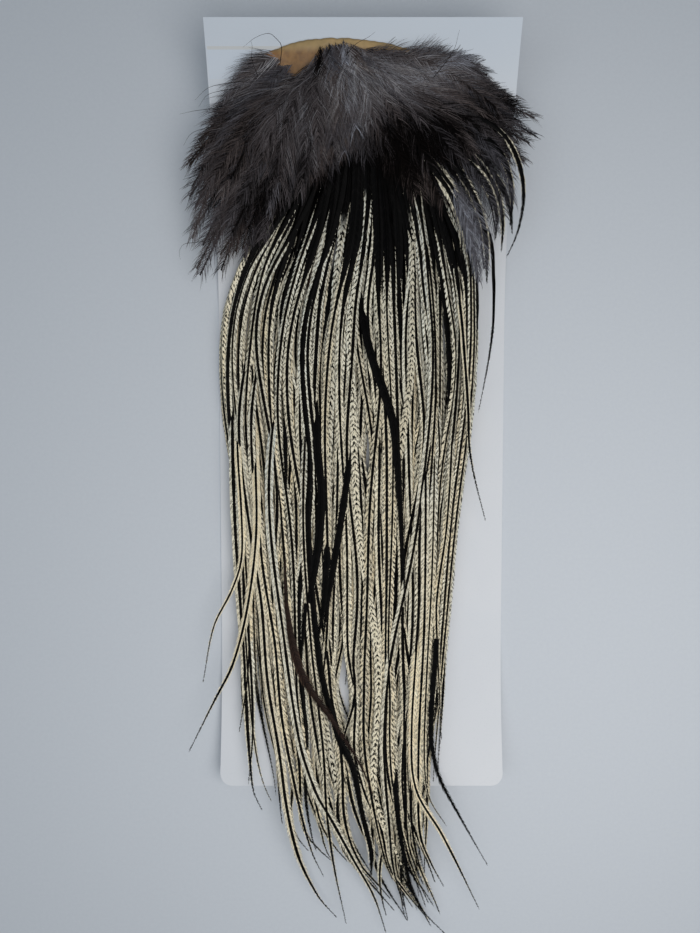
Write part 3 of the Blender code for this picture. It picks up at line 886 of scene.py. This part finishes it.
def build_fan(material, rng):
    """Webby feathers, one piece for each tuft of the frame."""
    number = 0
    for tier_index, tier in enumerate(DOWN_TIERS):
        sector = (tier["to"] - tier["from"]) / tier["tufts"]
        for index in range(tier["tufts"]):
            number += 1
            piece = Piece()
            extra = [entry for entry in SIDE_WEBS if entry[0] == number]
            count = FAN_TUFT_COUNTS[tier_index]
            cells = count + len(extra)
            for cell in range(count):
                angle = tier["from"] + sector * (index + (cell + rng.uniform(0.0, 1.0)) / count)
                first, last = FAN_MIDDLE_ANGLES
                spread = FAN_MIDDLE_SPREAD if first < angle < last else FAN_REACH_SPREAD
                reach = smooth_value(FAN_REACH, angle) * tier["reach"] * rng.uniform(*spread)
                centre = web_path(rng, tier_index, angle, float(reach), rng.uniform(-1.4, 1.4))
                add_web_feather(piece, (cell, cells), centre, web_kind(rng), rng)
            for cell, (_, shade, route) in enumerate(extra):
                feather = {**web_kind(rng), **SIDE_WEB_LOOK, "shade": shade}
                add_web_feather(piece, (count + cell, cells), side_web_path(route), feather, rng)
            piece.build("web_feathers_%02d" % number, material, "down", "down_tuft_%02d" % number)


# Narrow dark feathers along the fan's right side: look and route as (x, y)
SIDE_HACKLES = (
    ({"stripe": 0.8, "width": 3.4},
     ((18.1, 121.5), (30.7, 112), (41.9, 100.4), (52.7, 91.8), (57.4, 82.9), (59, 74.9))),
    ({"stripe": 0.55, "width": 2.6, "taper": 60.0, "opening": (0.2, 4.0, 36.0), "root_stripe": 1.0},
     ((28.4, 121.5), (40.9, 116.1), (53.4, 108.7), (59.5, 98.7), (61.8, 86.5), (60.5, 74.9),
      (57, 66))),
    ({"stripe": 0.5, "width": 3.0, "bars": 0.8},
     ((25, 115.2), (35.2, 105.1), (45.5, 97), (51.7, 88.3), (54.5, 78.6), (55, 68.2))),
    ({"stripe": 0.45, "width": 3.6, "bars": 0.8},
     ((13.8, 116.8), (22.4, 102.7), (29.9, 95.2), (35.6, 88.3), (38.1, 79.5), (39.5, 66))),
    ({"stripe": 0.6, "width": 2.6},
     ((36, 114), (46, 108), (54, 99), (57.5, 88), (58, 77.5))),
    ({"stripe": 0.9, "width": 3.4},
     ((31, 107.1), (40.8, 98.7), (48.2, 90), (52.1, 81.1), (52.4, 72.7))),
    ({"stripe": 0.7, "width": 3.6},
     ((13.8, 113.6), (25.6, 98.7), (34.5, 86.5), (40.3, 73.8), (43.8, 58))),
    ({"stripe": 0.7, "width": 3.4},
     ((21.3, 113.6), (33.1, 100.4), (42.9, 86.5), (47.7, 73.8), (49.7, 56))),
)
SIDE_HACKLE_LOOK = {
    "bars": 0.8, "light": 0.86, "rope": 0.0, "tone": 0.2, "warming": 0.3, "fold": (0.3, 0.3),
    "dark_root": 6.0, "dark_fade": 26.0, "taper": 26.0, "fringe_start": 0.4, "fringe_step": 0.6,
    "stripe_taper": 18.0, "root_stripe": 3.2,
}
SIDE_HACKLE_LIFT = 15.6
SIDE_HACKLE_ROOT_LIFT = 6.0
SIDE_HACKLE_TIP_SINK = 6.0
SIDE_HACKLE_STEP = 3.0


def build_side_feathers(material, rng):
    """Narrow glossy feathers that lie on the fan's right side."""
    piece = Piece()
    for cell, (look, route) in enumerate(SIDE_HACKLES):
        feather = {**hackle_kind(rng), **SIDE_HACKLE_LOOK, **look}
        x, y = curve_through(route, SIDE_HACKLE_STEP)
        share = np.linspace(0.0, 1.0, len(x))
        lift = mix(SIDE_HACKLE_ROOT_LIFT, SIDE_HACKLE_LIFT, smoothstep(share / 0.3))
        centre = over_fan(x, y, lift - SIDE_HACKLE_TIP_SINK * share ** 4)
        add_hackle(piece, cell, len(SIDE_HACKLES), centre, feather, rng)
    piece.build("side_feathers", material, "hackle")


# Loose dark hairs at the outline of the fan, as (x, y) from root to tip
WISPS = (
    ((-30.5, 132), (-29.7, 137.4), (-31.4, 139.4), (-34, 141.1), (-39.2, 140), (-43.8, 137.4)),
    ((-44.4, 127.3), (-52.2, 126.8), (-58.2, 125.7), (-63.3, 122.3)),
    ((-45.6, 125.4), (-52, 124.8), (-58.4, 123.6), (-62.1, 120.1)),
    ((-52.7, 119.8), (-58.7, 119.2), (-64, 118.9), (-69.7, 118.2)),
    ((-53.9, 113.4), (-60, 112.8), (-65.8, 111.1), (-68.8, 107.1)),
    ((-59.9, 72.7), (-65.1, 71.6), (-70.1, 70.9), (-72, 68.2), (-71.7, 65.2)),
    ((-6.5, 134), (-3, 137.4), (2.1, 139.7), (4.2, 141.1)),
    ((26, 128), (31.6, 134.4), (33.7, 137.9), (34.2, 140.2), (34.8, 142.5)),
    ((-39, 129), (-40.9, 134), (-40.4, 137.6), (-40.7, 139.1)),
    ((33.5, 127.5), (42.7, 126.6), (51.7, 124.5), (59.3, 122.4), (63.3, 117.7)),
    ((39.4, 122.4), (46.8, 121.5), (54, 119.3), (61.9, 114.9), (65.9, 108.1)),
    ((37.7, 119.9), (47.1, 118.3), (53.6, 115.5), (59.3, 110.3), (62.6, 106.4)),
)
WISP_WIDTH = 0.34
WISP_LIFT = 11.0
WISP_STEP = 1.2
WISP_FOLD = (0.6, 0.6)
WISP_LOOK = np.array((0.12, 0.0, 0.6, 0.5))
WISP_BAKE_SCALE = 10


def build_wisps(material):
    """Loose hairs as thin folded ribbons."""
    piece = Piece()
    for cell, route in enumerate(WISPS):
        x, y = curve_through(route, WISP_STEP)
        centre = over_fan(x, y, WISP_LIFT)
        along, _, right, upper = frames_of(centre)
        taper = mix(1.0, 0.2, along / along[-1])
        offset = WISP_WIDTH / 2 * taper[:, None] * WEB_VANE_COLUMNS
        points = vane_points(centre, right, upper, offset, WISP_FOLD)
        bake = fan_bake((cell, len(WISPS)), offset * WISP_BAKE_SCALE, along[:, None], along[-1])
        piece.add_vane(points, offset, along, bake, WISP_LOOK, np.zeros(4))
    piece.build("loose_hairs", material, "down")


# Node materials


class Graph:
    """Short way to build a procedural material around a Principled shader."""

    def __init__(self, name):
        self.material = bpy.data.materials.new(name)
        self.material.use_nodes = True
        self.tree = self.material.node_tree
        self.shader = self.tree.nodes["Principled BSDF"]

    def put(self, socket, value):
        """Link another socket to this one, or set its value."""
        if isinstance(value, bpy.types.NodeSocket):
            self.tree.links.new(value, socket)
        else:
            socket.default_value = value

    def node(self, kind, inputs=(), **settings):
        """New node with its settings, and its inputs by name or number."""
        made = self.tree.nodes.new(kind)
        for key, value in settings.items():
            setattr(made, key, value)
        for key, value in dict(inputs).items():
            self.put(made.inputs[key], value)
        return made

    def calc(self, operation, *values, clamp=False):
        """Result of a sum on sockets and numbers."""
        made = self.node("ShaderNodeMath", enumerate(values), operation=operation, use_clamp=clamp)
        return made.outputs[0]

    def times(self, first, second):
        return self.calc("MULTIPLY", first, second)

    def less(self, first, second):
        return self.calc("SUBTRACT", first, second)

    def plus(self, first, second):
        return self.calc("ADD", first, second)

    def scaled(self, value, factor, added):
        return self.calc("MULTIPLY_ADD", value, factor, added)

    def ease(self, value, low, high):
        """Ease from 0 at low to 1 at high."""
        inputs = {"Value": value, "From Min": low, "From Max": high}
        return self.node("ShaderNodeMapRange", inputs, interpolation_type="SMOOTHSTEP").outputs["Result"]

    def blend(self, share, first, second):
        """Mix of two colours."""
        inputs = {"Factor": share, 6: first, 7: second}
        return self.node("ShaderNodeMix", inputs, data_type="RGBA").outputs[2]

    def wash(self, colour, other, mask, amount):
        """Colour with a part of another where the mask is."""
        return self.blend(self.times(mask, amount), colour, other)

    def values(self, name):
        """Four values stored on the mesh."""
        made = self.node("ShaderNodeAttribute", attribute_name=name)
        parts = self.node("ShaderNodeSeparateColor", {0: made.outputs["Color"]})
        return (*parts.outputs[:3], made.outputs["Alpha"])

    def split(self, vector):
        """X and Y of a vector."""
        return self.node("ShaderNodeSeparateXYZ", {0: vector}).outputs[:2]

    def noise(self, vector, scale, detail):
        inputs = {"Vector": vector, "Scale": scale, "Detail": detail}
        return self.node("ShaderNodeTexNoise", inputs).outputs["Fac"]

    def pattern(self, detail, *places):
        """Noise read at a place made from two or three numbers."""
        place = self.node("ShaderNodeCombineXYZ", enumerate(places)).outputs[0]
        return self.noise(place, 1.0, detail)

    def object_place(self):
        return self.node("ShaderNodeTexCoord").outputs["Object"]

    def bump(self, height, strength, distance):
        inputs = {"Height": height, "Strength": strength, "Distance": distance}
        self.put(self.shader.inputs["Normal"], self.node("ShaderNodeBump", inputs).outputs[0])

    def finished(self, colour, roughness):
        """The material with its colour and roughness."""
        self.put(self.shader.inputs["Base Color"], colour)
        self.put(self.shader.inputs["Roughness"], roughness)
        return self.material


BAR_PERIOD = 2.3
BAR_SLANT = 1.3
BAR_TURN = 2 * math.pi / BAR_PERIOD
BARB_LINE_PERIOD = 0.55
COOL_CREAM = linear(226, 230, 223)
WARM_CREAM = linear(246, 226, 186)
STREAK_HIGHLIGHT = linear(250, 245, 226)
EDGE_HIGHLIGHT = linear(250, 242, 216)
PALE_HALO = linear(244, 232, 202)
BARB_SHADOW = linear(140, 128, 102)
BAR_COLOUR = linear(14, 10, 8)
STRIPE_COLOURS = (linear(1, 1, 1), linear(16, 14, 14))
BROWN_COLOURS = (linear(20, 14, 12), linear(52, 38, 32))
BROWN_EDGE = linear(120, 98, 80)


def hackle_material():
    """Cream vane with a dark centre stripe, fine slanted bars, barb lines, and painted highlight in
    streaks and along the vane's edges.
    """
    graph = Graph("hackle_feather")
    stripe, bars, tone, dark = graph.values("look")
    seed, light, rope, half_width = graph.values("more")
    across, along = graph.split(graph.node("ShaderNodeUVMap", uv_map="Vane").outputs[0])
    side = graph.calc("ABSOLUTE", graph.scaled(across, 10.0, -5.0))
    length = graph.times(along, 100.0)
    shift = graph.times(seed, 57.0)
    slanted = graph.less(length, graph.times(side, BAR_SLANT))
    wobble = graph.pattern(2.0, graph.times(length, 0.13), shift)
    barbs = graph.pattern(1.0, graph.times(slanted, 1.0 / BARB_LINE_PERIOD),
                          graph.times(side, 0.3), shift)
    streak = graph.pattern(2.0, graph.times(length, 0.22), graph.times(across, 26.0), shift)
    blot = graph.pattern(1.0, graph.times(slanted, 1.1), graph.times(across, 17.0), shift)

    pace = graph.scaled(seed, 0.5 * BAR_TURN, 0.8 * BAR_TURN)
    bar_wave = graph.calc("SINE", graph.scaled(slanted, pace, graph.times(wobble, 15.0)))
    uneven = graph.scaled(graph.less(streak, 0.5), 2.6, graph.times(graph.less(blot, 0.5), 6.5))
    bar = graph.ease(graph.scaled(bar_wave, 0.8, uneven), 0.1, 0.42)

    edge = graph.times(stripe, graph.scaled(wobble, 0.7, 0.75))
    ragged = graph.times(graph.less(barbs, 0.5), graph.times(stripe, 0.8))
    inner = graph.less(graph.plus(side, ragged), edge)
    broken = graph.times(rope, graph.less(1.0, bar))
    kept = graph.less(1.0, graph.times(broken, graph.ease(stripe, 1.4, 0.8)))
    ink = graph.times(graph.less(1.0, graph.ease(inner, -0.05, 0.1)), kept)

    pale = graph.blend(tone, COOL_CREAM, WARM_CREAM)
    # Painted highlight: pale streaks along the vane, standing in for the sheen of glossy barbs
    pale = graph.wash(pale, STREAK_HIGHLIGHT, graph.ease(streak, 0.4, 0.7), 0.7)
    # Painted highlight: a pale line along the vane's outer edges
    pale = graph.wash(pale, EDGE_HIGHLIGHT, graph.ease(graph.calc("DIVIDE", side, half_width), 0.7, 1.0), 0.45)
    pale = graph.wash(pale, BARB_SHADOW, graph.ease(barbs, 0.6, 0.36), 0.4)
    barred = graph.wash(pale, BAR_COLOUR, bar, bars)
    halo = graph.calc("SUBTRACT", graph.ease(inner, 0.55, 0.1), ink, clamp=True)
    barred = graph.wash(barred, PALE_HALO, halo, 0.45)
    inked = graph.blend(ink, barred, graph.blend(graph.ease(barbs, 0.45, 0.75), *STRIPE_COLOURS))
    brown = graph.blend(graph.ease(barbs, 0.35, 0.7), *BROWN_COLOURS)
    brown = graph.wash(brown, BROWN_EDGE, graph.ease(side, 1.2, 2.2), 0.6)
    colour = graph.blend(dark, inked, brown)
    bright = graph.node("ShaderNodeHueSaturation", {"Value": light, "Color": colour})
    graph.shader.inputs["Specular IOR Level"].default_value = 0.06
    graph.bump(graph.plus(barbs, graph.times(streak, 0.5)), 0.5, 0.00012)
    return graph.finished(bright.outputs[0], graph.scaled(barbs, 0.2, 0.45))


# Dark, middle and light barbs, each cool and warm
WEB_COLOURS = ((linear(5, 4, 4), linear(10, 6, 5)), (linear(84, 83, 89), linear(91, 79, 74)),
               (linear(172, 176, 188), linear(170, 163, 158)))


def web_material():
    """Soft grey-brown to black barbs."""
    graph = Graph("web_feather")
    shade, outwards, warm, _ = graph.values("look")
    grain = graph.noise(graph.object_place(), 900.0, 2.0)
    light = graph.plus(shade, graph.scaled(grain, 0.3, -0.15))
    light = graph.plus(light, graph.times(outwards, 0.08))
    low, mid, high = [graph.blend(warm, *pair) for pair in WEB_COLOURS]
    colour = graph.blend(graph.ease(light, 0.0, 0.5), low, mid)
    colour = graph.blend(graph.ease(light, 0.45, 1.05), colour, high)
    graph.shader.inputs["Specular IOR Level"].default_value = 0.04
    return graph.finished(colour, 0.7)


# Colours of the hide, and where in metres it lies covered by the feathers and darkened with painted
# shade, where it is rusty and where paler
HIDE_TANS = (linear(128, 92, 54), linear(164, 124, 76))
HIDE_BLOTCH = linear(104, 74, 42)
HIDE_RUST = linear(120, 54, 34)
HIDE_RIM = linear(200, 176, 126)
HIDE_PAINTED_SHADE = linear(22, 17, 15)
HIDE_SHADE_Y = (0.124, 0.112)
RUST_X = (-0.031, -0.037)
RIM_Y = (0.1385, 0.1415)


def hide_material():
    """Dried bare skin: tan, with rust patches, a paler rim and near-black painted shade where the
    feathers cover it.
    """
    graph = Graph("dried_hide")
    place = graph.object_place()
    broad, fine = graph.noise(place, 60.0, 3.0), graph.noise(place, 420.0, 4.0)
    x, y = graph.split(place)
    rust = graph.times(graph.ease(x, *RUST_X), graph.ease(broad, 0.35, 0.6))
    colour = graph.blend(graph.ease(fine, 0.3, 0.7), *HIDE_TANS)
    colour = graph.wash(colour, HIDE_BLOTCH, graph.ease(broad, 0.5, 0.7), 0.5)
    colour = graph.blend(rust, colour, HIDE_RUST)
    colour = graph.wash(colour, HIDE_RIM, graph.ease(y, *RIM_Y), 0.5)
    # Painted shade: the skin turns near black below the fan, where the feathers lie over it
    colour = graph.blend(graph.ease(y, *HIDE_SHADE_Y), colour, HIDE_PAINTED_SHADE)
    graph.bump(fine, 0.6, 0.0006)
    return graph.finished(colour, graph.scaled(fine, 0.3, 0.4))


# Empty panel at the top of the card, in metres, and its colours, with the span and colour of the painted
# shade towards the card's raised end
PANEL_LEFT = -0.0585
PANEL_TOP = 0.1411
PANEL_BOTTOM = 0.1316
PANEL_LINE = 0.0005
CARD_SHADE_Y = (0.1, 0.15)
BOARD_WHITES = (linear(220, 222, 226), linear(225, 226, 229))
BOARD_FIBRE = linear(206, 210, 215)
BOARD_PAINTED_SHADE = linear(198, 208, 219)
PANEL_COLOUR = linear(222, 229, 240)
PANEL_LINE_COLOUR = linear(206, 200, 188)


def card_material():
    """Plain white board with faint fibres, a faint empty panel and painted shade, cooler and darker,
    towards the raised end.
    """
    graph = Graph("white_card")
    place = graph.object_place()
    fibre, cloud = graph.noise(place, 1400.0, 4.0), graph.noise(place, 18.0, 3.0)
    x, y = graph.split(place)
    colour = graph.blend(graph.ease(cloud, 0.3, 0.7), *BOARD_WHITES)
    colour = graph.wash(colour, BOARD_FIBRE, graph.ease(fibre, 0.55, 0.75), 0.25)
    inside_x = graph.times(graph.calc("GREATER_THAN", x, PANEL_LEFT), graph.calc("LESS_THAN", x, 0.0))
    inside_y = graph.times(graph.calc("LESS_THAN", y, PANEL_TOP),
                           graph.calc("GREATER_THAN", y, PANEL_BOTTOM))
    colour = graph.wash(colour, PANEL_COLOUR, graph.times(inside_x, inside_y), 0.6)
    from_line = graph.calc("ABSOLUTE", graph.less(y, PANEL_TOP))
    line = graph.times(graph.calc("LESS_THAN", from_line, PANEL_LINE), inside_x)
    # Painted shade: the white turns cooler and darker towards the raised top end of the card
    colour = graph.wash(colour, BOARD_PAINTED_SHADE, graph.ease(y, *CARD_SHADE_Y), 0.7)
    colour = graph.wash(colour, PANEL_LINE_COLOUR, line, 0.5)
    graph.bump(fibre, 0.25, 0.0001)
    return graph.finished(colour, 0.6)


# Hide and card

HIDE_COLUMNS = 110
HIDE_ROWS = 90
HIDE_RIM_RAISE = 1.4


def build_hide(material):
    """Thin dried skin with a ragged rim, on the raised end of the card."""
    across, along = np.meshgrid(np.linspace(0, 1, HIDE_COLUMNS), np.linspace(0, 1, HIDE_ROWS))
    x = mix(HIDE_LEFT_X, HIDE_RIGHT_X, across)
    edge = np.abs(2 * across - 1)
    top = HIDE_TOP_Y + HIDE_RIM_RAISE - np.where(across < 0.5, 4.0 * edge ** 3, 10.0 * edge ** 2)
    bottom = HIDE_BOTTOM_Y + 9.0 * edge ** 3
    wave = 0.4 * np.sin(9.0 * across + 5.0 * along)
    ragged = 0.12 * np.sin(43 * across + 2.0 * np.sin(17 * across)) + 0.05 * np.sin(143 * across)
    y = mix(bottom, top + wave + ragged, along)
    x = x * (1.0 - 0.08 * np.sin(math.pi * along))
    z = bed_height(y) + GAP
    bumps = 0.25 * np.sin(0.55 * x + 0.3 * y) * np.sin(0.4 * y - 0.2 * x)
    rim = smoothstep(np.minimum.reduce((across, 1 - across, along, 1 - along)) / 0.03)
    lower = np.stack((x, y, z), -1)
    upper = np.stack((x, y, z + (HIDE_THICKNESS - 0.35) * mix(0.35, 1.0, rim) + bumps * rim), -1)
    closed_sheet("hide_skin", material, "hide", "hide", upper, lower)


def closed_sheet(name, material, slot, node, upper, lower):
    """Piece with a closed mesh between two grids of points that share their outline."""
    rows, columns = upper.shape[:2]
    index = np.arange(rows * columns).reshape(rows, columns)
    quads = np.stack((index[:-1, :-1], index[:-1, 1:], index[1:, 1:], index[1:, :-1]), -1)
    quads = quads.reshape(-1, 4)
    rim = np.concatenate((index[0, :], index[1:, -1], index[-1, -2::-1], index[-2:0:-1, 0]))
    after = np.roll(rim, -1)
    other = rows * columns
    walls = np.stack((rim + other, after + other, after, rim), -1)
    faces = np.concatenate((quads, quads[:, ::-1] + other, walls))
    points = np.concatenate((upper.reshape(-1, 3), lower.reshape(-1, 3))) * METRES_PER_MM
    mesh = bpy.data.meshes.new(name)
    mesh.from_pydata(points.tolist(), [], faces.tolist())
    mesh.update()
    mesh.materials.append(material)
    mesh.shade_smooth()
    finish_piece(bpy.data.objects.new(name, mesh), slot, node)
    return mesh


def build_card(material):
    """Bowed board with rounded lower corners, smooth-shaded but sharp at its edges."""
    half = CARD_LENGTH / 2
    radius = CARD_CORNER_RADIUS
    corner = radius * (1 - np.cos(np.linspace(0, math.pi / 2, 13))) - half
    rows = np.concatenate((corner, np.linspace(radius - half, half, 150)[1:]))
    rise = rows + half
    inset = radius - np.sqrt(np.maximum(radius ** 2 - np.maximum(radius - rise, 0) ** 2, 0))
    width = CARD_WIDTH / 2 - inset
    columns = np.linspace(-1, 1, 41)
    x = width[:, None] * columns[None]
    y = np.repeat(rows[:, None], len(columns), 1)
    z = card_underside(y)
    upper = np.stack((x, y, z + CARD_THICKNESS), -1)
    lower = np.stack((x, y, z), -1)
    mesh = closed_sheet("board", material, "card", "backing_card", upper, lower)
    mesh.set_sharp_from_angle(angle=math.radians(40))


# Stage


FLOOR_HALF_SIZE = 1.6
FLOOR_COLOURS = (linear(206, 210, 216), linear(213, 217, 222))
ROOM_COLOUR = (0.74, 0.87, 1.0, 1.0)
ROOM_STRENGTH = 0.22
# Name, place, size, power and colour
LIGHTS = (
    ("window", (0.11, -0.1, 0.37), 0.36, 1.04, (1.0, 0.98, 0.955)),
    ("fill", (-0.5, -0.14, 0.7), 0.6, 1.0, (0.93, 0.97, 1.0)),
)
SENSOR_WIDTH = 36.0
CLIP_START = 0.01


def build_stage():
    """Pale floor, soft light and the camera."""
    scene = bpy.context.scene
    mesh = bpy.data.meshes.new("floor")
    size = FLOOR_HALF_SIZE
    corners = [(-size, -size, 0), (size, -size, 0), (size, size, 0), (-size, size, 0)]
    mesh.from_pydata(corners, [], [(0, 1, 2, 3)])
    graph = Graph("pale_floor")
    weave = graph.noise(graph.object_place(), 700.0, 3.0)
    mesh.materials.append(graph.finished(graph.blend(weave, *FLOOR_COLOURS), 0.8))
    floor = bpy.data.objects.new("floor", mesh)
    scene.collection.objects.link(floor)

    world = bpy.data.worlds.new("soft_room")
    world.use_nodes = True
    background = world.node_tree.nodes["Background"]
    background.inputs[0].default_value = ROOM_COLOUR
    background.inputs[1].default_value = ROOM_STRENGTH
    scene.world = world
    for light in LIGHTS:
        add_light(*light)

    camera = bpy.data.objects.new("camera", bpy.data.cameras.new("camera"))
    camera.location = [value * METRES_PER_MM for value in CAMERA_PLACE]
    camera.rotation_euler = (math.radians(CAMERA_TILT_DEGREES), 0.0, 0.0)
    camera.data.lens = CAMERA_LENS
    camera.data.sensor_width = SENSOR_WIDTH
    camera.data.clip_start = CLIP_START
    scene.collection.objects.link(camera)
    scene.camera = camera
    scene.view_settings.view_transform = "Standard"


def add_light(name, place, size, power, colour):
    """Square area light aimed at the middle of the object."""
    data = bpy.data.lights.new(name, "AREA")
    data.size = size
    data.energy = power
    data.color = colour
    light = bpy.data.objects.new(name, data)
    light.location = place
    x, y, z = place
    light.rotation_euler = (math.atan2(math.hypot(x, y), z), 0.0, math.atan2(y, x) + math.pi / 2)
    bpy.context.scene.collection.objects.link(light)


def main():
    """Build every piece around the frame."""
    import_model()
    rng = np.random.default_rng(SEED)
    build_card(card_material())
    build_hide(hide_material())
    hackle = hackle_material()
    build_cloak(hackle, rng)
    build_strays(hackle, rng)
    web = web_material()
    build_fan(web, rng)
    build_side_feathers(hackle, rng)
    build_wisps(web)
    build_stage()


main()
